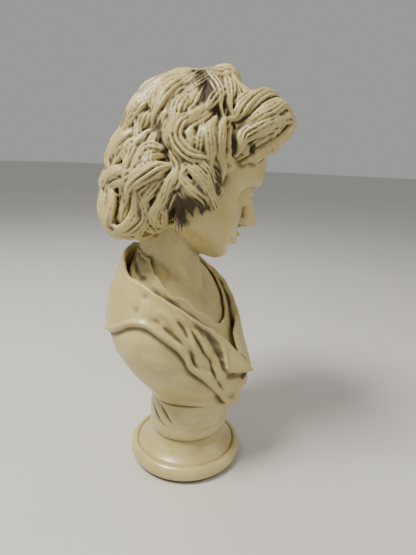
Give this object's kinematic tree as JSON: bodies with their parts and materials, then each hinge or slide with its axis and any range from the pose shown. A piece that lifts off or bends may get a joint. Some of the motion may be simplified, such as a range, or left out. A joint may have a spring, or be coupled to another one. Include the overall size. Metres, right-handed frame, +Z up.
{
  "type": "marble bust",
  "caption": "Table-top bust of a youth with thick wavy hair and a draped cloak, on a turned round socle with a felt foot.",
  "frame": {"origin": "centre of the underside of the felt, on the axis of the socle", "axes": "+Z up; the chest faces -Y; +X is the sitter's left"},
  "size_m": [0.1201, 0.1251, 0.2609],
  "materials": {
    "carved_marble": "waxed satin, antique wash in the recesses",
    "turned_marble": "polished",
    "bedding_compound": "matt",
    "stainless_steel": "rolled thread, bright",
    "anchor_resin": "cast",
    "vulcanised_fibre": "calendered",
    "felt": "pressed wool"
  },
  "bodies": {
    "root": {"bust": "carved_marble", "socle": "turned_marble", "bedding_compound": "bedding_compound", "threaded_stud": "stainless_steel", "anchor_resin": "anchor_resin", "fibre_washer": "vulcanised_fibre", "steel_washer": "stainless_steel", "hex_nut": "stainless_steel", "felt_pad": "felt"}
  },
  "joints": []
}
